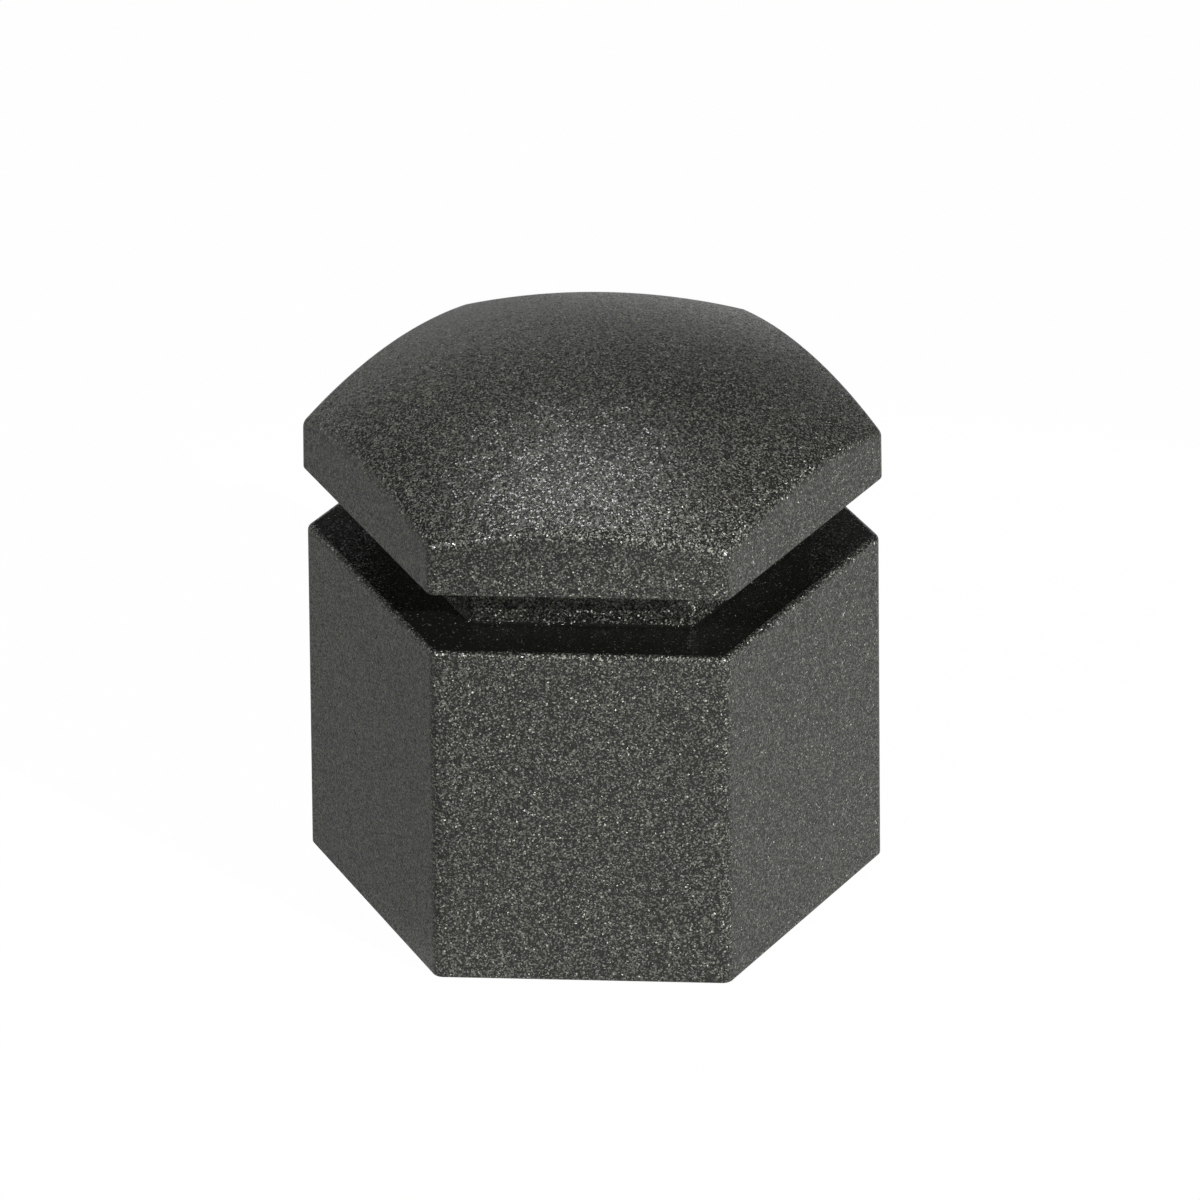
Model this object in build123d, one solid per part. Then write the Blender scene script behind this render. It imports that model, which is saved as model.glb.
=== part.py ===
"""Push-on cover cap for a hexagonal wheel bolt.

One moulded piece: a hexagonal skirt that slips over the bolt's head, a waisted groove that the
pulling hook grips, and a hexagonal head with a domed crown. The cap stands on its open mouth.
The origin is the middle of the mouth, +Z points at the crown, the hexagon's corners lie on the
X axis and one of its flats faces -Y. Millimetres throughout.
"""
import os

from build123d import *

# The bolt and the grip on it
bolt_flats = 17.0            # the bolt head's hexagon, across flats
socket_clearance = 0.15      # gap on each flat between the bolt and the socket's wall, at the mouth
rib_squeeze = 0.15           # how far each grip rib reaches past the bolt's flat
rib_radius = 0.5             # roundness of a grip rib
rib_start = 2.0              # height of the ribs' rounded lower ends above the mouth
socket_depth = 12.5          # mouth to the shoulder that stops on the bolt
shoulder_wall = 1.65         # thickness of that shoulder, under the groove
socket_draft = 0.25          # degrees that the socket's walls lean in
socket_corner_radius = 0.5   # roundness of the upright corners of socket and core
mouth_lead_in = 0.3          # bevel that guides the cap over the bolt

# The skirt
skirt_wall = 0.95            # wall thickness at the mouth
skirt_draft = 0.65           # degrees that the outside leans in
skirt_edge_radius = 0.2      # roundness of the skirt's upper edge
corner_radius = 0.45         # roundness of the upright edges of skirt, neck and head

# The groove for the pulling hook
groove_height = 2.5          # clear height between the skirt and the head
neck_flats = 14.4            # the neck's hexagon, across flats
neck_fillet = 0.1            # where the neck runs into the skirt and the head

# The head and its crown
head_flats = 19.05           # the head's hexagon at its underside, across flats
head_draft = 0.9             # degrees that the head's sides lean in
head_height = 4.6            # underside to the top of the crown
crown_radius = 24.3          # the crown's sphere
crown_edge_radius = 0.45     # roundness of the edge between crown and sides
crown_wall = 1.4             # thickness of the crown over the core
core_wall = 1.55             # wall between the neck's flats and the hollow core

socket_flats = bolt_flats + 2 * socket_clearance
skirt_flats = socket_flats + 2 * skirt_wall
skirt_height = socket_depth + shoulder_wall
core_flats = neck_flats - 2 * core_wall
head_underside = skirt_height + groove_height
cap_height = head_underside + head_height
crown_centre = cap_height - crown_radius
rib_axis = bolt_flats / 2 - rib_squeeze + rib_radius
hexagon_sides = 6
first_flat_angle = 180 / hexagon_sides
quarter_turn = 90


def hexagonal_prism(flats, height, base, edge_radius, draft=0):
    """Upright hexagonal block that leans in by the draft, with rounded upright edges."""
    outline = RegularPolygon(flats / 2, hexagon_sides, major_radius=False)
    block = extrude(outline, height, taper=draft)
    block = fillet(block.edges().filter_by(Plane.XY, reverse=True), edge_radius)
    return Pos(0, 0, base) * block


def crown_sphere(radius):
    """Ball on the cap's axis whose upper side is the crown or the ceiling under it.

    It is turned a quarter so that its poles lie sideways and the crown is an even patch.
    """
    return Pos(0, 0, crown_centre) * Rot(0, quarter_turn, 0) * Sphere(radius)


def level_face(shape, level):
    """The flat face of a shape that lies at a level."""
    return min(shape.faces().filter_by(Plane.XY), key=lambda face: abs(face.center().Z - level))


def skirt():
    """Outside of the skirt, with its upper edge rounded."""
    block = hexagonal_prism(skirt_flats, skirt_height, 0, corner_radius, skirt_draft)
    return fillet(level_face(block, skirt_height).edges(), skirt_edge_radius)


def head():
    """Outside of the head: tapered sides under a domed crown, with a softened edge between."""
    block = hexagonal_prism(head_flats, head_height, head_underside, corner_radius, head_draft)
    domed = block & crown_sphere(crown_radius)
    crown = domed.faces().filter_by(GeomType.SPHERE)[0]
    return fillet(crown.edges(), crown_edge_radius)


def outside():
    """Skirt, neck and head in one, with fillets where the neck meets the other two."""
    neck = hexagonal_prism(neck_flats, groove_height, skirt_height, corner_radius)
    body = skirt() + neck + head()
    roots = []
    for level in (skirt_height, head_underside):
        roots += level_face(body, level).inner_wires()[0].edges()
    return fillet(roots, neck_fillet)


def hollow():
    """The hexagonal socket for the bolt, and a smaller domed core above it that keeps the walls even."""
    socket = hexagonal_prism(socket_flats, socket_depth, 0, socket_corner_radius, socket_draft)
    core = hexagonal_prism(core_flats, cap_height - socket_depth, socket_depth, socket_corner_radius)
    return socket + (core & crown_sphere(crown_radius - crown_wall))


def grip_ribs():
    """One upright round rib in the middle of each of the socket's flats, with a rounded lower end."""
    bar = Pos(0, 0, rib_start) * Cylinder(
        rib_radius, socket_depth - rib_start, align=(Align.CENTER, Align.CENTER, Align.MIN))
    rib = bar + Pos(0, 0, rib_start) * Sphere(rib_radius)
    places = PolarLocations(rib_axis, hexagon_sides, start_angle=first_flat_angle)
    return [place * rib for place in places]


def nut_cap():
    """The whole cap."""
    solid = outside()
    shell = solid - hollow()
    for rib in grip_ribs():
        shell += rib & solid
    mouth = level_face(shell, 0).inner_wires()[0]
    return chamfer(mouth.edges(), mouth_lead_in)


os.makedirs("parts", exist_ok=True)
cap = nut_cap()
cap.label = "nut_cap"
export_step(cap, "parts/nut_cap.step")
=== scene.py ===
"""Looks of a push-on cover cap for a hexagonal wheel bolt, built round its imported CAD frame.

The cap is one moulded piece of dark grey plastic with fine metal flakes in it. One sixth of it is
made from the cap's rule, a rounded hexagon drawn at each level, and is repeated round the axis.
"""
import math

import bpy
from bpy.props import FloatProperty, FloatVectorProperty, PointerProperty
from mathutils import Matrix, Vector


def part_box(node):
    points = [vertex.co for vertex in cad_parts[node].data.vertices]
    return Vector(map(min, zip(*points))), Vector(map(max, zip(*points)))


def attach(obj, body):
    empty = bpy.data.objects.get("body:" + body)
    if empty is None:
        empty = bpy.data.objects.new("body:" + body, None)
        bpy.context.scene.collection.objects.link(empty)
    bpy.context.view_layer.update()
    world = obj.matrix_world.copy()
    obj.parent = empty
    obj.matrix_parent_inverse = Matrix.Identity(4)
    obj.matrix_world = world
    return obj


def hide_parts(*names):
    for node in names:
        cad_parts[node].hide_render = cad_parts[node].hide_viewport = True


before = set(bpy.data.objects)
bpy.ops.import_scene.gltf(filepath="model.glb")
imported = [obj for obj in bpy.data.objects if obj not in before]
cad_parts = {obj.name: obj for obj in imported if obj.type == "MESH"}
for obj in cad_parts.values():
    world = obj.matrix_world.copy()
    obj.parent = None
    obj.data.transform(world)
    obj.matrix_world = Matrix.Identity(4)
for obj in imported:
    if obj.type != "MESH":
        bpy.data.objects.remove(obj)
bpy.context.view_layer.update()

bl_info = {
    "name": "Wheel bolt cover cap",
    "version": (1, 0, 0),
    "blender": (4, 5, 0),
    "location": "View3D > Sidebar > Cover Cap",
    "description": "Builds a hexagonal cover cap of flaked plastic and the studio it stands in",
    "category": "Object",
}

MM = 0.001
SIDES = 6
HALF_SIDE = math.pi / SIDES
QUARTER = math.pi / 2
WHITE = (1, 1, 1, 1)
SENSOR_WIDTH = 36              # the camera's sensor, in millimetres
BODY = "root"
CAD_NODE = "nut_cap"
SHADED_HOLLOW = "shaded_hollow"                # faces in the groove and inside, which cores of the mould shaped; their darker finish is painted shade
BOX_LOW, BOX_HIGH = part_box(CAD_NODE)

# columns of one side of the cap, from its middle to its corner
RIB_COLUMNS = 6                # across half of the grip rib
STRAIGHT_COLUMNS = 14          # from the rib to the corner
CORNER_COLUMNS = 5             # round half of the corner
CORNER_MARGIN = 0.012          # share of the straight that is kept for a narrow column by the corner
RIB_SHARE = 0.96               # share of the rib's radius that its columns cover

# rings of each stretch of the cap's section, as counts or as places between two rings
DOME_RINGS = 26
CROWN_EDGE_RINGS = 7
CRISP_RINGS = 4
FILLET_RINGS = 5
SKIRT_EDGE_RINGS = 6
RIB_END_RINGS = 10
CEILING_RINGS = 14
HEAD_SIDE_PARTS = (0.015, 0.35, 0.65, 0.98)
GROOVE_PARTS = (0.02, 0.5, 0.98)
GROOVE_FLOOR_PARTS = (0.02, 0.5, 0.985)
SKIRT_SIDE_PARTS = (0.004, 0.2, 0.4, 0.6, 0.8, 0.995)
BELOW_RIB_PART = 0.8
SOCKET_PARTS = (0.1, 0.4, 0.7, 0.95, 1)
SHOULDER_PARTS = (0.5, 1)
CORE_PARTS = (0.05, 0.5, 0.95, 1)
ROLL_REPEATS = 12              # rounds in which the ball under the crown's edge finds its height

SEAM = 0.002 * MM              # points nearer than this are joined where two sides meet
LEVEL_TOLERANCE = 0.001 * MM   # how near to a level a point has to be to lie on it
PARTING_REACH = 0.004 * MM     # how near to the parting line a point has to be to sink
SHARP_ANGLE = math.radians(35)


def length(name, description, millimetres):
    """A size that a user would change, in metres."""
    return FloatProperty(name=name, description=description, default=millimetres * MM,
                         precision=5, subtype="DISTANCE", unit="LENGTH")


def angle(name, description, degrees):
    """An angle that a user would change."""
    return FloatProperty(name=name, description=description, default=math.radians(degrees),
                         subtype="ANGLE", unit="ROTATION")


def place(name, description, millimetres):
    """A point that a user would change, in metres."""
    return FloatVectorProperty(name=name, description=description, default=[x * MM for x in millimetres],
                               size=3, precision=5, subtype="TRANSLATION", unit="LENGTH")


def power(name, description, watts):
    """A lamp's power."""
    return FloatProperty(name=name, description=description, default=watts, unit="POWER")


def share(name, description, default):
    """A plain factor that a user would change."""
    return FloatProperty(name=name, description=description, default=default, precision=4)


def colour(name, description, default):
    """A colour that a user would change, as linear light."""
    return FloatVectorProperty(name=name, description=description, default=default,
                               size=3, min=0, max=1, subtype="COLOR")


class CapSizes(bpy.types.PropertyGroup):
    """The cap's own dimensions."""
    skirt_flats: length("Skirt across flats", "At the mouth",
                        (BOX_HIGH.y - BOX_LOW.y) / MM)
    skirt_draft: angle("Skirt draft", "Lean of the skirt's outside", 0.65)
    skirt_height: length("Skirt height", "Mouth to the groove's floor", 14.15)
    skirt_edge: length("Skirt edge", "Roundness of the skirt's upper edge", 0.22)
    corner_radius: length("Corners", "Roundness of the upright edges", 0.46)
    crisp_edge: length("Crisp edges", "Softness of the edges that look sharp", 0.07)
    neck_flats: length("Neck across flats", "The groove's inner hexagon", 14.4)
    neck_fillet: length("Neck fillet", "Where the neck runs into skirt and head", 0.1)
    groove_height: length("Groove height", "Skirt to head", 2.5)
    head_flats: length("Head across flats", "At the head's underside", 19.05)
    head_draft: angle("Head draft", "Lean of the head's sides", 0.9)
    cap_height: length("Cap height", "Mouth to the top of the crown", BOX_HIGH.z / MM)
    crown_radius: length("Crown radius", "The crown's sphere", 24.3)
    crown_edge: length("Crown edge", "Roundness of the edge round the crown", 0.45)
    parting_depth: length("Parting line", "Depth of the mould's parting line in the groove", 0.03)
    crown_wall: length("Crown wall", "Thickness of the crown", 1.4)
    socket_flats: length("Socket across flats", "At the mouth", 17.3)
    socket_draft: angle("Socket draft", "Lean of the socket's walls", 0.25)
    socket_depth: length("Socket depth", "Mouth to the shoulder", 12.5)
    socket_corner: length("Socket corners", "Roundness of the socket's corners", 0.5)
    lead_in: length("Lead-in", "Bevel at the mouth", 0.3)
    core_flats: length("Core across flats", "The hollow over the socket", 11.3)
    rib_radius: length("Rib roundness", "Radius of a grip rib", 0.5)
    rib_axis: length("Rib axis", "Distance of a rib's axis from the cap's", 8.85)
    rib_start: length("Rib start", "Height of a rib's rounded lower end", 2.0)


class CapFinish(bpy.types.PropertyGroup):
    """The flaked plastic."""
    resin: colour("Resin", "Colour of the plastic between the flakes", (0.0059, 0.006, 0.0051))
    dull_flake: colour("Dull flake", "Colour of the dullest metal flakes", (0.0152, 0.0155, 0.0132))
    bright_flake: colour("Bright flake", "Colour of the brightest metal flakes",
                         (0.2876, 0.295, 0.2508))
    flake_size: length("Flake size", "Spacing of the flakes and of the mould's grain", 0.054)
    flake_share: share("Flake share", "Part of the surface that is metal flakes", 0.5)
    # painted shade: the groove and the inside get this small share of flakes, so that they look darker
    shaded_hollow_share: share("Shaded hollow share", "The same where a core of the mould shaped the surface", 0.03)
    flake_tilt: share("Flake tilt", "Largest slope of the metal flakes", 0.6)
    grain_tilt: share("Grain tilt", "Largest slope of the resin's fine grain", 0.21)
    flake_rough: share("Flake roughness", "Roughness of the metal flakes", 0.55)
    resin_rough: share("Resin roughness", "Roughness of the resin's grain", 0.2)
    shine: share("Shine", "Level of the resin's mirror shine", 0.5)
    # painted shade: less shine and this resin roughness belong to the darker finish in the groove and
    # the inside
    shaded_hollow_shine: share("Shaded hollow shine", "The same where a core of the mould shaped the surface", 0.2)
    shaded_hollow_rough: share("Shaded hollow roughness", "Roughness of the resin that a core of the mould shaped", 0.15)
    shine_power: share("Shine power", "How few flakes shine brightly", 0.8)
    skin: share("Skin", "Strength of the clear skin over the flakes", 0.3)
    skin_rough: share("Skin roughness", "Roughness of the clear skin", 0.5)


class Studio(bpy.types.PropertyGroup):
    """The camera, the lamps and the floor."""
    azimuth: angle("Azimuth", "Camera's turn from straight in front", 3.3106)
    elevation: angle("Elevation", "Camera's height over the floor", 30.2129)
    roll: angle("Roll", "Camera's turn about its own line of sight", 0.5596)
    distance: length("Distance", "Camera to the aiming point", 310.38)
    aim_height: length("Aiming height", "Aiming point over the floor", 11.085)
    slide_right: length("Slide right", "Camera moved sideways", 0.2505)
    slide_down: length("Slide down", "Camera moved down its own picture", 0.0288)
    lens: FloatProperty(name="Lens", description="Focal length in millimetres", default=244.5,
                        subtype="DISTANCE_CAMERA", unit="CAMERA")
    floor_size: length("Floor", "Width of the floor", 4000)
    floor_gap: length("Floor gap", "Hair's breadth between the floor and the rim", 0.01)
    floor_colour: colour("Floor colour", "Pale floor", (0.86, 0.86, 0.86))
    white_share: share("White share", "How far the floor turns pure white for the camera", 0.98)
    # painted reflection: in the cap's reflections the floor glows, dimmer on the left and brighter on
    # the right, in place of lamp light and shadow on it
    painted_reflection_dim: share("Mirrored dim", "Brightness of its left part in reflections", 0.34)
    dim_edge: length("Dim edge", "Place left of the axis where the dim part of the floor ends", -9.0)
    bright_edge: length("Bright edge", "Place left of the axis where the bright part begins", -5.0)
    painted_reflection_bright: share("Mirrored bright", "Brightness of its right part in reflections", 0.56)
    horizon: share("Horizon", "Brightness of the surroundings, level with the floor", 0.59)
    zenith: share("Zenith", "Brightness of the surroundings, overhead", 0.12)
    horizon_height: share("Horizon height", "Sine of the height at which the bright horizon ends", 0.34)
    sky_lean: angle("Sky lean", "How far the darkest part of the surroundings leans to the right", 12.0)
    soft_aim: place("Soft aim", "Point that the two soft lamps look at", (0, 0, 12))
    top_place: place("Top lamp", "Place of the soft lamp overhead", (-30, 160, 380))
    top_size: length("Top size", "Width of the soft lamp overhead", 70)
    top_power: power("Top power", "Power of the soft lamp overhead", 0.35)
    left_place: place("Left lamp", "Place of the soft lamp on the left", (-190, -290, 300))
    left_size: length("Left size", "Width of the soft lamp on the left", 30)
    left_power: power("Left power", "Power of the soft lamp on the left", 1.05)
    beam_place: place("Beam lamp", "Place of the lamp with a beam, on the right", (312, -261.7, 219.5))
    beam_aim: place("Beam aim", "Point that the middle of the beam meets", (19.1, -16, -36.8))
    beam_radius: length("Beam lamp radius", "Roundness of the lamp with a beam", 2)
    beam_width: angle("Beam width", "Full angle of the beam", 15)
    beam_blend: share("Beam blend", "Share of the beam that its soft border takes", 0.04)
    beam_power: power("Beam power", "Power of the lamp with a beam", 10.2)


def hexagon_side(apothem, radius, columns, rib_half):
    """Points and outward directions of one side of a rounded hexagon, from corner to corner.

    The side faces +X. Each column is (place along the straight, turn into the corner). A place of
    up to 1 lies within a rib's width, one between 1 and 2 lies between the rib and the corner.
    """
    half = (apothem - radius) * math.tan(HALF_SIDE)
    points = []
    for column, turn in columns:
        reach = abs(column)
        if reach <= 1:
            along = reach * rib_half
        else:
            along = rib_half + (reach - 1) * (half - rib_half)
        along = math.copysign(along, column)
        out = Vector((math.cos(turn), math.sin(turn), 0))
        points.append((Vector((apothem - radius, along, 0)) + radius * out, out))
    return points


def steps(count):
    """Even shares from 0 to 1."""
    return [i / count for i in range(count + 1)]


def side_columns():
    """Columns of a side that crowd at the rib's edges and next to the rounded corners."""
    rib = [math.sin(QUARTER * part) for part in steps(RIB_COLUMNS)[1:]]
    straight = [1 + (1 - CORNER_MARGIN) * part for part in steps(STRAIGHT_COLUMNS)[1:]]
    half = [(along, 0.0) for along in rib + straight]
    half += [(2.0, HALF_SIDE * part) for part in steps(CORNER_COLUMNS)]
    return [(-along, -turn) for along, turn in reversed(half)] + [(0.0, 0.0)] + half


def level_ring(apothem, radius, height, columns, rib_half):
    """One side of a rounded hexagon at a height."""
    lift = Vector((0, 0, height))
    return [point + lift for point, out in hexagon_side(apothem, radius, columns, rib_half)]


def crown_rings(sizes, columns, rib_half, count):
    """Rings of the rounded edge between the crown and the head's sides, from crown to side.

    A ball of the edge's radius rolls along, touching both: its middle stays that far inside each.
    """
    ball = sizes.crown_edge
    centre = Vector((0, 0, sizes.cap_height - sizes.crown_radius))
    underside = sizes.skirt_height + sizes.groove_height
    lean = sizes.head_draft
    rings = [[] for i in range(count + 1)]
    for column in columns:
        height = sizes.cap_height
        for repeat in range(ROLL_REPEATS):
            apothem = sizes.head_flats / 2 - (height - underside) * math.tan(lean)
            apothem -= ball / math.cos(lean)
            radius = max(sizes.corner_radius - ball, 0)
            middle, out = hexagon_side(apothem, radius, [column], rib_half)[0]
            drop = (sizes.crown_radius - ball) ** 2 - middle.length_squared
            height = centre.z + math.sqrt(drop)
        middle.z = height
        up = (middle - centre).normalized()
        side = Vector((out.x * math.cos(lean), out.y * math.cos(lean), math.sin(lean)))
        for ring, part in zip(rings, steps(count)):
            ring.append(middle + ball * up.slerp(side, part))
    return rings


def dome_rings(rim, centre_height, radius, count):
    """Rings that shrink a rim to the axis over a sphere, from the axis outwards, rim left out."""
    rings = []
    for part in steps(count)[:-1]:
        ring = []
        for point in rim:
            x, y = point.x * part, point.y * part
            ring.append(Vector((x, y, centre_height + math.sqrt(radius ** 2 - x * x - y * y))))
        rings.append(ring)
    return rings


def between(first, last, parts):
    """Rings part of the way from one ring to another."""
    return [[a.lerp(b, part) for a, b in zip(first, last)] for part in parts]


def arc_rings(apothem, height, ball, start, end, corner, outward, count, columns, rib_half):
    """Rings of a rounded edge about a level line: start and end are angles up from level."""
    rings = []
    for part in steps(count):
        turn = start + (end - start) * part
        reach = ball * math.cos(turn)
        radius = corner + outward * reach
        rings.append(level_ring(apothem + outward * reach, max(radius, 0),
                                height + ball * math.sin(turn), columns, rib_half))
    return rings


def outside_rings(sizes, columns, rib_half):
    """All rings of the cap's outside, from the crown's middle to the mouth's rim.

    Also tells which rows of faces are the groove's floor and roof.
    """
    crisp = sizes.crisp_edge
    corner = sizes.corner_radius
    underside = sizes.skirt_height + sizes.groove_height
    fillet = sizes.neck_fillet

    edge = crown_rings(sizes, columns, rib_half, CROWN_EDGE_RINGS)
    rings = dome_rings(edge[0], sizes.cap_height - sizes.crown_radius, sizes.crown_radius, DOME_RINGS)
    rings += edge

    # the head's sides, its lower edge and its underside
    lower = arc_rings(sizes.head_flats / 2 - crisp, underside + crisp, crisp, sizes.head_draft, -QUARTER,
                      corner - crisp, 1, CRISP_RINGS, columns, rib_half)
    rings += between(edge[-1], lower[0], HEAD_SIDE_PARTS)
    rings += lower
    neck = sizes.neck_flats / 2
    root = arc_rings(neck + fillet, underside - fillet, fillet, QUARTER, 0,
                     corner + fillet, -1, FILLET_RINGS, columns, rib_half)
    roof_start = len(rings) - 1
    rings += between(lower[-1], root[0], GROOVE_PARTS)
    roof_end = len(rings)
    rings += root

    # the neck and the groove's floor
    foot = arc_rings(neck + fillet, sizes.skirt_height + fillet, fillet, 0, -QUARTER,
                     corner + fillet, -1, FILLET_RINGS, columns, rib_half)
    rings += between(root[-1], foot[0], GROOVE_PARTS)
    floor_start = len(rings)
    rings += foot
    ball = sizes.skirt_edge
    lean = sizes.skirt_draft
    shoulder = sizes.skirt_flats / 2 - (sizes.skirt_height - ball) * math.tan(lean)
    brim = arc_rings(shoulder - ball / math.cos(lean), sizes.skirt_height - ball, ball, QUARTER, lean,
                     corner - ball, 1, SKIRT_EDGE_RINGS, columns, rib_half)
    rings += between(foot[-1], brim[0], GROOVE_FLOOR_PARTS)
    floor_end = len(rings)
    rings += brim

    # the skirt's outside and the mouth's rim
    rim = arc_rings(sizes.skirt_flats / 2 - crisp, crisp, crisp, lean, -QUARTER,
                    corner - crisp, 1, CRISP_RINGS, columns, rib_half)
    rings += between(brim[-1], rim[0], SKIRT_SIDE_PARTS)
    rings += rim
    return rings, {*range(roof_start, roof_end), *range(floor_start, floor_end)}


def socket_ring(sizes, height, columns, rib_half):
    """One side of the socket's wall at a height, with the grip rib in its middle."""
    apothem = sizes.socket_flats / 2 - height * math.tan(sizes.socket_draft)
    ring = level_ring(apothem, sizes.socket_corner, height, columns, rib_half)
    below = max(sizes.rib_start - height, 0)
    for point in ring:
        room = sizes.rib_radius ** 2 - below ** 2 - point.y ** 2
        if room > 0:
            point.x = min(point.x, sizes.rib_axis - math.sqrt(room))
    return ring


def inside_rings(sizes, columns, rib_half):
    """All rings of the cap's inside, from the mouth's bevel to the middle of the ceiling."""
    corner = sizes.socket_corner
    mouth = level_ring(sizes.socket_flats / 2 + sizes.lead_in, corner + sizes.lead_in, 0,
                       columns, rib_half)
    rings = [mouth, socket_ring(sizes, sizes.lead_in, columns, rib_half)]
    rib_end = sizes.rib_start - sizes.rib_radius
    heights = [rib_end * BELOW_RIB_PART]
    heights += [rib_end + sizes.rib_radius * (1 - math.cos(QUARTER * part))
                for part in steps(RIB_END_RINGS)]
    heights += [sizes.rib_start + (sizes.socket_depth - sizes.rib_start) * part
                for part in SOCKET_PARTS]
    rings += [socket_ring(sizes, height, columns, rib_half) for height in heights]
    ceiling = sizes.crown_radius - sizes.crown_wall
    centre = sizes.cap_height - sizes.crown_radius
    core = level_ring(sizes.core_flats / 2, corner, sizes.socket_depth, columns, rib_half)
    rings += between(rings[-1], core, SHOULDER_PARTS)
    top = [Vector((p.x, p.y, centre + math.sqrt(ceiling ** 2 - p.x ** 2 - p.y ** 2))) for p in core]
    rings += between(core, top, CORE_PARTS)
    rings += reversed(dome_rings(top, centre, ceiling, CEILING_RINGS))
    return rings


def sixth_of_cap(sizes):
    """Mesh of one side of the cap, with the faces marked that cores of the mould shape, in the groove
    and inside, for the darker finish that paints their shade.
    """
    columns = side_columns()
    rib_half = sizes.rib_radius * RIB_SHARE
    outer, groove_rows = outside_rings(sizes, columns, rib_half)
    rings = outer + inside_rings(sizes, columns, rib_half)
    width = len(columns)
    points = [tuple(point) for ring in rings for point in ring]
    faces = []
    shaded_hollow = []
    for row in range(len(rings) - 1):
        for column in range(width - 1):
            first = row * width + column
            faces.append((first, first + 1, first + width + 1, first + width))
            # the groove's floor and roof and the whole inside take the darker finish: painted shade
            shaded_hollow.append(row >= len(outer) or row in groove_rows)
    mesh = bpy.data.meshes.new("sixth_of_cap")
    mesh.from_pydata(points, [], faces)
    mark = mesh.attributes.new(SHADED_HOLLOW, "BOOLEAN", "FACE")
    mark.data.foreach_set("value", shaded_hollow)
    return mesh


def score_parting_line(mesh, sizes):
    """Sinks the seam of the mould's two sliding cores into the groove's floor, at two corners."""
    for vertex in mesh.vertices:
        point = vertex.co
        on_floor = abs(point.z - sizes.skirt_height) < LEVEL_TOLERANCE
        across = abs(point.y + point.x * math.tan(2 * HALF_SIDE))
        if on_floor and across < PARTING_REACH:
            point.z -= sizes.parting_depth


def repeat_round_axis():
    """Node tree that repeats a sector round the axis, closes its seams and gives it its finish, and a
    darker finish that paints shade on the marked faces.
    """
    tree = bpy.data.node_groups.new("Repeat round the axis", "GeometryNodeTree")
    for name, kind in (("Geometry", "NodeSocketGeometry"), ("Sides", "NodeSocketInt"),
                       ("Seam", "NodeSocketFloat"), ("Outer Finish", "NodeSocketMaterial"),
                       ("Shaded Hollow Finish", "NodeSocketMaterial")):
        tree.interface.new_socket(name, in_out="INPUT", socket_type=kind)
    tree.interface.new_socket("Geometry", in_out="OUTPUT", socket_type="NodeSocketGeometry")
    add, link = tree.nodes.new, tree.links.new
    given, made = add("NodeGroupInput"), add("NodeGroupOutput")
    points = add("GeometryNodePoints")
    index = add("GeometryNodeInputIndex")
    step = add("ShaderNodeMath")
    step.operation = "DIVIDE"
    step.inputs[0].default_value = math.tau
    turn = add("ShaderNodeMath")
    turn.operation = "MULTIPLY"
    spin = add("ShaderNodeCombineXYZ")
    copies = add("GeometryNodeInstanceOnPoints")
    real = add("GeometryNodeRealizeInstances")
    merge = add("GeometryNodeMergeByDistance")
    smooth = add("GeometryNodeSetShadeSmooth")
    outer = add("GeometryNodeSetMaterial")
    # the marked faces of the groove and the inside get the darker finish that paints their shade
    marked = add("GeometryNodeInputNamedAttribute")
    marked.data_type = "BOOLEAN"
    marked.inputs["Name"].default_value = SHADED_HOLLOW
    shaded_hollow = add("GeometryNodeSetMaterial")
    link(given.outputs["Sides"], points.inputs["Count"])
    link(given.outputs["Sides"], step.inputs[1])
    link(step.outputs[0], turn.inputs[0])
    link(index.outputs[0], turn.inputs[1])
    link(turn.outputs[0], spin.inputs["Z"])
    link(points.outputs[0], copies.inputs["Points"])
    link(given.outputs["Geometry"], copies.inputs["Instance"])
    link(spin.outputs[0], copies.inputs["Rotation"])
    link(copies.outputs[0], real.inputs[0])
    link(real.outputs[0], merge.inputs["Geometry"])
    link(given.outputs["Seam"], merge.inputs["Distance"])
    link(merge.outputs[0], smooth.inputs["Geometry"])
    link(smooth.outputs[0], outer.inputs["Geometry"])
    link(given.outputs["Outer Finish"], outer.inputs["Material"])
    link(outer.outputs[0], shaded_hollow.inputs["Geometry"])
    link(marked.outputs["Attribute"], shaded_hollow.inputs["Selection"])
    link(given.outputs["Shaded Hollow Finish"], shaded_hollow.inputs["Material"])
    link(shaded_hollow.outputs[0], made.inputs[0])
    return tree


def set_inputs(modifier, values):
    """Sets a node modifier's inputs by the names of its sockets."""
    for item in modifier.node_group.interface.items_tree:
        if item.item_type == "SOCKET" and item.in_out == "INPUT" and item.name in values:
            modifier[item.identifier] = values[item.name]


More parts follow.
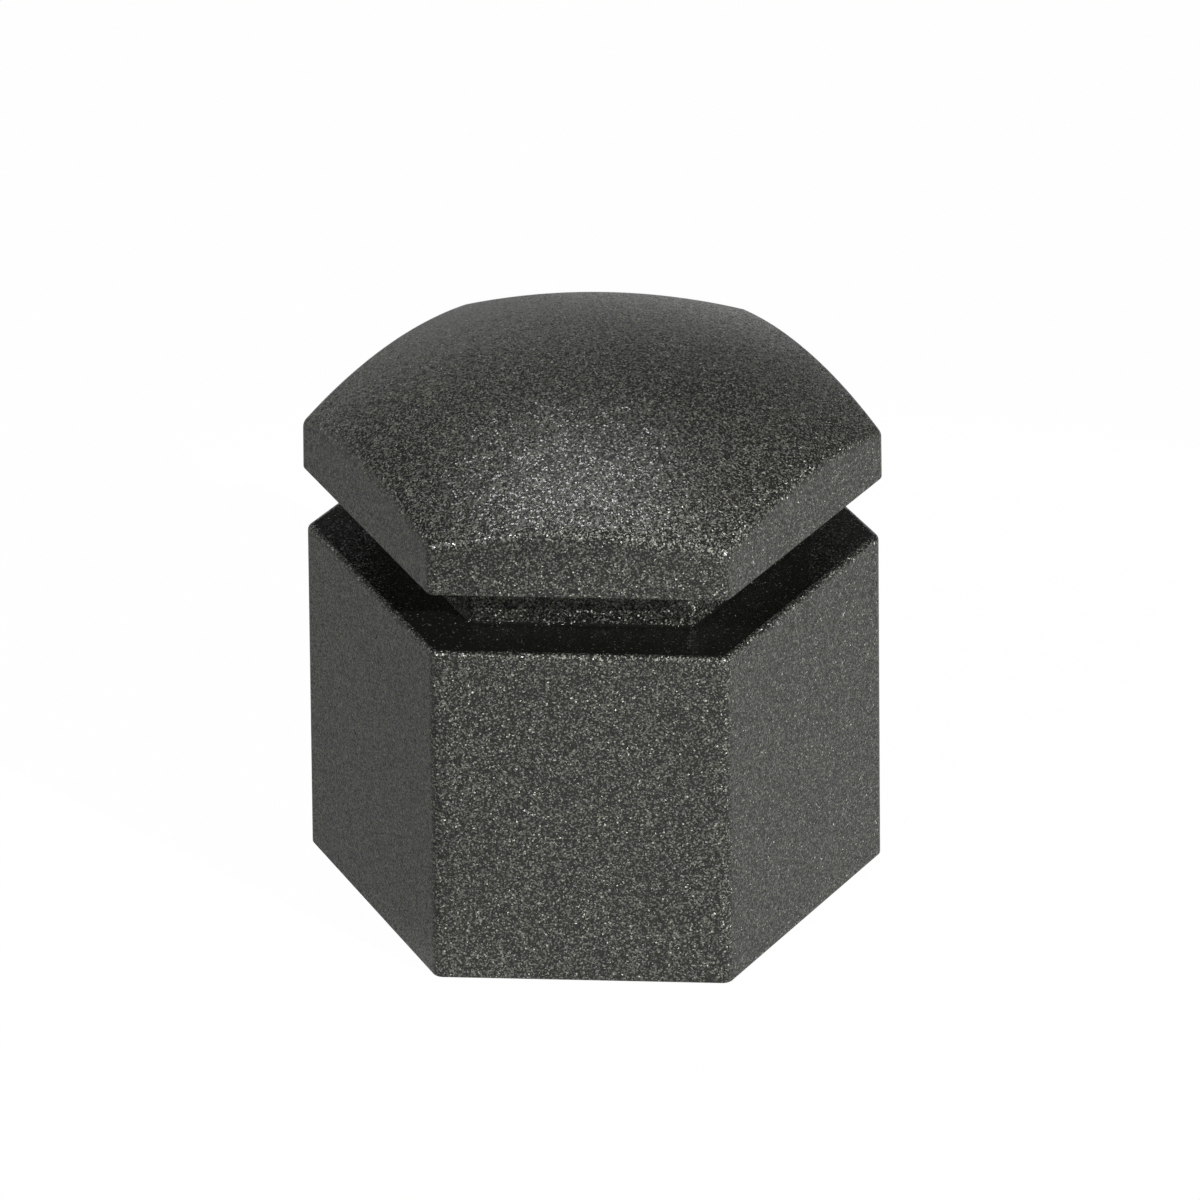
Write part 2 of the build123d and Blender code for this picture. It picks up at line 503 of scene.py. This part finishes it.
def flake_group():
    """Shader group: metal flakes that lean every way, of many shades, in resin with a fine grain."""
    tree = bpy.data.node_groups.new("Metal flakes", "ShaderNodeTree")
    for name, kind in (("Place", "NodeSocketVector"), ("Surface", "NodeSocketVector"),
                       ("Size", "NodeSocketFloat"), ("Share", "NodeSocketFloat"),
                       ("Grain Tilt", "NodeSocketFloat"), ("Flake Tilt", "NodeSocketFloat"),
                       ("Resin Roughness", "NodeSocketFloat"), ("Flake Roughness", "NodeSocketFloat"),
                       ("Shine Power", "NodeSocketFloat"), ("Resin", "NodeSocketColor"),
                       ("Dull Flake", "NodeSocketColor"), ("Bright Flake", "NodeSocketColor")):
        tree.interface.new_socket(name, in_out="INPUT", socket_type=kind)
    for name, kind in (("Colour", "NodeSocketColor"), ("Metallic", "NodeSocketFloat"),
                       ("Roughness", "NodeSocketFloat"), ("Normal", "NodeSocketVector")):
        tree.interface.new_socket(name, in_out="OUTPUT", socket_type=kind)
    add, link = tree.nodes.new, tree.links.new
    given, made = add("NodeGroupInput"), add("NodeGroupOutput")
    scale = add("ShaderNodeMath")
    scale.operation = "DIVIDE"
    scale.inputs[0].default_value = 1
    cells = add("ShaderNodeTexVoronoi")
    cells.feature = "F1"
    cells.inputs["Randomness"].default_value = 1
    white = add("ShaderNodeTexWhiteNoise")
    white.noise_dimensions = "3D"
    parts = add("ShaderNodeSeparateColor")
    link(given.outputs["Size"], scale.inputs[1])
    link(given.outputs["Place"], cells.inputs["Vector"])
    link(scale.outputs[0], cells.inputs["Scale"])
    link(cells.outputs["Position"], white.inputs["Vector"])
    link(white.outputs["Color"], parts.inputs[0])

    # which cells are flakes, and how rough they look
    metal = add("ShaderNodeMath")
    metal.operation = "LESS_THAN"
    link(parts.outputs["Red"], metal.inputs[0])
    link(given.outputs["Share"], metal.inputs[1])
    link(metal.outputs[0], made.inputs["Metallic"])
    rough = add("ShaderNodeMix")
    link(metal.outputs[0], rough.inputs["Factor"])
    link(given.outputs["Resin Roughness"], rough.inputs["A"])
    link(given.outputs["Flake Roughness"], rough.inputs["B"])
    link(rough.outputs["Result"], made.inputs["Roughness"])

    # how bright each one is
    shine = add("ShaderNodeMath")
    shine.operation = "POWER"
    link(parts.outputs["Green"], shine.inputs[0])
    link(given.outputs["Shine Power"], shine.inputs[1])
    glint = add("ShaderNodeMix")
    glint.data_type = "RGBA"
    link(shine.outputs[0], glint.inputs["Factor"])
    link(given.outputs["Dull Flake"], glint.inputs["A"])
    link(given.outputs["Bright Flake"], glint.inputs["B"])
    tint = add("ShaderNodeMix")
    tint.data_type = "RGBA"
    link(metal.outputs[0], tint.inputs["Factor"])
    link(given.outputs["Resin"], tint.inputs["A"])
    link(glint.outputs["Result"], tint.inputs["B"])
    link(tint.outputs["Result"], made.inputs["Colour"])

    # which way each one faces: its random colour, less middle grey, points anywhere
    lean = add("ShaderNodeVectorMath")
    lean.operation = "SUBTRACT"
    lean.inputs[1].default_value = (0.5, 0.5, 0.5)
    way = add("ShaderNodeVectorMath")
    way.operation = "NORMALIZE"
    most = add("ShaderNodeMix")
    spread = add("ShaderNodeMath")
    spread.operation = "SQRT"
    slope = add("ShaderNodeMath")
    slope.operation = "MULTIPLY"
    sized = add("ShaderNodeVectorMath")
    sized.operation = "SCALE"
    tilted = add("ShaderNodeVectorMath")
    tilted.operation = "ADD"
    unit = add("ShaderNodeVectorMath")
    unit.operation = "NORMALIZE"
    link(cells.outputs["Color"], lean.inputs[0])
    link(lean.outputs[0], way.inputs[0])
    link(metal.outputs[0], most.inputs["Factor"])
    link(given.outputs["Grain Tilt"], most.inputs["A"])
    link(given.outputs["Flake Tilt"], most.inputs["B"])
    link(parts.outputs["Blue"], spread.inputs[0])
    link(spread.outputs[0], slope.inputs[0])
    link(most.outputs["Result"], slope.inputs[1])
    link(way.outputs[0], sized.inputs[0])
    link(slope.outputs[0], sized.inputs["Scale"])
    link(given.outputs["Surface"], tilted.inputs[0])
    link(sized.outputs[0], tilted.inputs[1])
    link(tilted.outputs[0], unit.inputs[0])
    link(unit.outputs[0], made.inputs["Normal"])
    return tree


def flaked_plastic(name, finish, group, metal_share, resin_rough, skin, shine):
    """Dark plastic full of metal flakes, under a clear skin that the mould left matt."""
    material = bpy.data.materials.new(name)
    material.use_nodes = True
    nodes = material.node_tree.nodes
    nodes.clear()
    link = material.node_tree.links.new
    output = nodes.new("ShaderNodeOutputMaterial")
    plastic = nodes.new("ShaderNodeBsdfPrincipled")
    plastic.inputs["Specular IOR Level"].default_value = shine
    plastic.inputs["Coat Weight"].default_value = skin
    plastic.inputs["Coat Roughness"].default_value = finish.skin_rough
    where = nodes.new("ShaderNodeTexCoord")
    surface = nodes.new("ShaderNodeNewGeometry")
    flakes = nodes.new("ShaderNodeGroup")
    flakes.node_tree = group
    settings = {
        "Size": finish.flake_size, "Share": metal_share,
        "Grain Tilt": finish.grain_tilt, "Flake Tilt": finish.flake_tilt,
        "Resin Roughness": resin_rough, "Flake Roughness": finish.flake_rough,
        "Shine Power": finish.shine_power, "Resin": (*finish.resin, 1),
        "Dull Flake": (*finish.dull_flake, 1), "Bright Flake": (*finish.bright_flake, 1),
    }
    for socket, value in settings.items():
        flakes.inputs[socket].default_value = value
    link(where.outputs["Object"], flakes.inputs["Place"])
    link(surface.outputs["Normal"], flakes.inputs["Surface"])
    link(flakes.outputs["Colour"], plastic.inputs["Base Color"])
    link(flakes.outputs["Metallic"], plastic.inputs["Metallic"])
    link(flakes.outputs["Roughness"], plastic.inputs["Roughness"])
    link(flakes.outputs["Normal"], plastic.inputs["Normal"])
    link(plastic.outputs[0], output.inputs["Surface"])
    return material


class CAP_OT_build_cap(bpy.types.Operator):
    """Build the cap from one side repeated round the axis, with its finish and a darker finish that
    paints shade in the groove and inside
    """
    bl_idname = "cover_cap.build_cap"
    bl_label = "Build the Cap"
    bl_options = {"REGISTER", "UNDO"}

    def execute(self, context):
        scene = context.scene
        group = flake_group()
        finish = scene.cap_finish
        outer = flaked_plastic("flaked_plastic", finish, group, finish.flake_share,
                               finish.resin_rough, finish.skin, finish.shine)
        # painted shade: the groove and the inside get few flakes, less shine and no skin, so that they
        # render darker
        shaded_hollow = flaked_plastic("shaded_hollow_plastic", finish, group, finish.shaded_hollow_share,
                               finish.shaded_hollow_rough, 0, finish.shaded_hollow_shine)
        pattern = bpy.data.objects.new("cap_side", sixth_of_cap(scene.cap_sizes))
        scene.collection.objects.link(pattern)
        modifier = pattern.modifiers.new("Sides", "NODES")
        modifier.node_group = repeat_round_axis()
        set_inputs(modifier, {"Sides": SIDES, "Seam": SEAM,
                              "Outer Finish": outer, "Shaded Hollow Finish": shaded_hollow})
        shaped = pattern.evaluated_get(context.evaluated_depsgraph_get())
        mesh = bpy.data.meshes.new_from_object(shaped)
        if not mesh.polygons:
            raise RuntimeError("the cap's node tree made no faces")
        bpy.data.objects.remove(pattern)
        mesh.transform(Matrix.Rotation(HALF_SIDE, 4, "Z"))
        score_parting_line(mesh, scene.cap_sizes)
        mesh.set_sharp_from_angle(angle=SHARP_ANGLE)
        cap = bpy.data.objects.new("cover_cap", mesh)
        scene.collection.objects.link(cap)
        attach(cap, BODY)
        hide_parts(CAD_NODE)
        return {"FINISHED"}


def place_camera(studio):
    """Puts the camera at the photograph's angle."""
    straight, tipped = math.cos(studio.roll), math.sin(studio.roll)
    forward = Vector((0, math.cos(studio.elevation), -math.sin(studio.elevation)))
    down = Vector((0, -math.sin(studio.elevation), -math.cos(studio.elevation)))
    right = Vector((1, 0, 0))
    picture_right = straight * right + tipped * down
    picture_down = straight * down - tipped * right
    spot = Vector((0, 0, studio.aim_height)) - studio.distance * forward
    spot += studio.slide_right * picture_right + studio.slide_down * picture_down
    turn = Matrix.Rotation(studio.azimuth, 3, "Z")
    axes = Matrix((picture_right, -picture_down, -forward)).transposed()
    lens = bpy.data.cameras.new("camera")
    lens.lens = studio.lens
    lens.sensor_width = SENSOR_WIDTH
    camera = bpy.data.objects.new("camera", lens)
    camera.matrix_world = Matrix.Translation(turn @ spot) @ (turn @ axes).to_4x4()
    bpy.context.scene.collection.objects.link(camera)
    bpy.context.scene.camera = camera


def ramp(nodes, link, value, low, high, start, end):
    """A number that goes from start to end while a value goes from low to high."""
    change = nodes.new("ShaderNodeMapRange")
    change.interpolation_type = "SMOOTHSTEP"
    change.inputs["From Min"].default_value = low
    change.inputs["From Max"].default_value = high
    change.inputs["To Min"].default_value = start
    change.inputs["To Max"].default_value = end
    link(value, change.inputs["Value"])
    return change


def white_when_seen(tree, shader, studio):
    """Mixes the floor's shader with white for the camera. In reflections it puts a white glow graded
    from dim on the left to bright on the right in its place: a painted reflection of a floor lit more on
    the right than on the left.
    """
    nodes, link = tree.nodes, tree.links.new
    rays = nodes.new("ShaderNodeLightPath")
    where = nodes.new("ShaderNodeTexCoord")
    along = nodes.new("ShaderNodeSeparateXYZ")
    link(where.outputs["Object"], along.inputs[0])
    # painted reflection: a glow graded across the floor, seen only in reflections, stands in for the
    # light and shadow that lamps would put on it
    grade = ramp(nodes, link, along.outputs["X"], studio.dim_edge, studio.bright_edge,
                 studio.painted_reflection_dim, studio.painted_reflection_bright)
    painted_reflection_glow = nodes.new("ShaderNodeEmission")
    link(grade.outputs[0], painted_reflection_glow.inputs["Strength"])
    inner = nodes.new("ShaderNodeMixShader")
    link(rays.outputs["Is Glossy Ray"], inner.inputs[0])
    link(shader.outputs[0], inner.inputs[1])
    link(painted_reflection_glow.outputs[0], inner.inputs[2])
    seen = nodes.new("ShaderNodeMath")
    seen.operation = "MULTIPLY"
    seen.inputs[1].default_value = studio.white_share
    link(rays.outputs["Is Camera Ray"], seen.inputs[0])
    white = nodes.new("ShaderNodeEmission")
    white.inputs["Color"].default_value = WHITE
    mix = nodes.new("ShaderNodeMixShader")
    link(seen.outputs[0], mix.inputs[0])
    link(inner.outputs[0], mix.inputs[1])
    link(white.outputs[0], mix.inputs[2])
    return mix


def lay_floor(studio):
    """A plain pale floor that keeps the cap's shadow."""
    half = studio.floor_size / 2
    mesh = bpy.data.meshes.new("floor")
    level = -studio.floor_gap
    corners = [(-half, -half, level), (half, -half, level), (half, half, level), (-half, half, level)]
    mesh.from_pydata(corners, [], [(0, 1, 2, 3)])
    material = bpy.data.materials.new("pale_floor")
    material.use_nodes = True
    tree = material.node_tree
    tree.nodes.clear()
    matt = tree.nodes.new("ShaderNodeBsdfDiffuse")
    matt.inputs["Color"].default_value = (*studio.floor_colour, 1)
    output = tree.nodes.new("ShaderNodeOutputMaterial")
    mix = white_when_seen(tree, matt, studio)
    tree.links.new(mix.outputs[0], output.inputs["Surface"])
    mesh.materials.append(material)
    floor = bpy.data.objects.new("floor", mesh)
    bpy.context.scene.collection.objects.link(floor)


def hang(lamp, spot, aim):
    """Puts a lamp at a spot, looking at a point."""
    holder = bpy.data.objects.new(lamp.name, lamp)
    spot, aim = Vector(spot), Vector(aim)
    look = (aim - spot).to_track_quat("-Z", "Y").to_matrix().to_4x4()
    holder.matrix_world = Matrix.Translation(spot) @ look
    bpy.context.scene.collection.objects.link(holder)


def soft_lamp(name, size, watts):
    """A square soft lamp."""
    lamp = bpy.data.lights.new(name, "AREA")
    lamp.shape = "SQUARE"
    lamp.size = size
    lamp.energy = watts
    return lamp


def beam_lamp(name, radius, beam, blend, watts):
    """A round lamp with a narrow beam whose border is soft."""
    lamp = bpy.data.lights.new(name, "SPOT")
    lamp.shadow_soft_size = radius
    lamp.spot_size = beam
    lamp.spot_blend = blend
    lamp.energy = watts
    return lamp


def surround(scene, studio):
    """Soft surroundings, brighter near the floor and on the left than overhead."""
    world = bpy.data.worlds.new("surroundings")
    scene.world = world
    world.use_nodes = True
    tree = world.node_tree
    tree.nodes.clear()
    output = tree.nodes.new("ShaderNodeOutputWorld")
    air = tree.nodes.new("ShaderNodeBackground")
    air.inputs["Color"].default_value = WHITE
    where = tree.nodes.new("ShaderNodeTexCoord")
    rise = tree.nodes.new("ShaderNodeVectorMath")
    rise.operation = "DOT_PRODUCT"
    rise.inputs[1].default_value = (math.sin(studio.sky_lean), 0, math.cos(studio.sky_lean))
    tree.links.new(where.outputs["Generated"], rise.inputs[0])
    fade = ramp(tree.nodes, tree.links.new, rise.outputs["Value"], 0, studio.horizon_height,
                studio.horizon, studio.zenith)
    tree.links.new(fade.outputs[0], air.inputs["Strength"])
    tree.links.new(air.outputs[0], output.inputs["Surface"])


class CAP_OT_build_stage(bpy.types.Operator):
    """Set up the camera, the floor, the lamps and the surroundings"""
    bl_idname = "cover_cap.build_stage"
    bl_label = "Build the Stage"
    bl_options = {"REGISTER", "UNDO"}

    def execute(self, context):
        scene = context.scene
        studio = scene.cap_studio
        scene.view_settings.view_transform = "Standard"
        place_camera(studio)
        lay_floor(studio)
        top = soft_lamp("top_lamp", studio.top_size, studio.top_power)
        hang(top, studio.top_place, studio.soft_aim)
        left = soft_lamp("left_lamp", studio.left_size, studio.left_power)
        hang(left, studio.left_place, studio.soft_aim)
        # the beam's upper border lies across the head, so that the crown does not glare from behind
        right = beam_lamp("right_lamp", studio.beam_radius, studio.beam_width, studio.beam_blend,
                          studio.beam_power)
        hang(right, studio.beam_place, studio.beam_aim)
        surround(scene, studio)
        return {"FINISHED"}


class CAP_PT_sidebar(bpy.types.Panel):
    """Sizes and finishes of the cap, and the buttons that build it"""
    bl_idname = "CAP_PT_sidebar"
    bl_label = "Cover Cap"
    bl_space_type = "VIEW_3D"
    bl_region_type = "UI"
    bl_category = "Cover Cap"

    def draw(self, context):
        layout = self.layout
        for settings in (context.scene.cap_sizes, context.scene.cap_finish, context.scene.cap_studio):
            box = layout.box()
            for name in settings.__annotations__:
                box.prop(settings, name)
        layout.operator(CAP_OT_build_cap.bl_idname)
        layout.operator(CAP_OT_build_stage.bl_idname)


CLASSES = (CapSizes, CapFinish, Studio, CAP_OT_build_cap, CAP_OT_build_stage, CAP_PT_sidebar)


def register():
    """Adds the classes and the scene's settings."""
    for kind in CLASSES:
        bpy.utils.register_class(kind)
    bpy.types.Scene.cap_sizes = PointerProperty(type=CapSizes)
    bpy.types.Scene.cap_finish = PointerProperty(type=CapFinish)
    bpy.types.Scene.cap_studio = PointerProperty(type=Studio)


def unregister():
    """Takes the settings and the classes away again."""
    del bpy.types.Scene.cap_sizes, bpy.types.Scene.cap_finish, bpy.types.Scene.cap_studio
    for kind in reversed(CLASSES):
        bpy.utils.unregister_class(kind)


def main():
    """Builds the scene."""
    register()
    bpy.ops.cover_cap.build_cap()
    bpy.ops.cover_cap.build_stage()


if __name__ == "__main__":
    main()
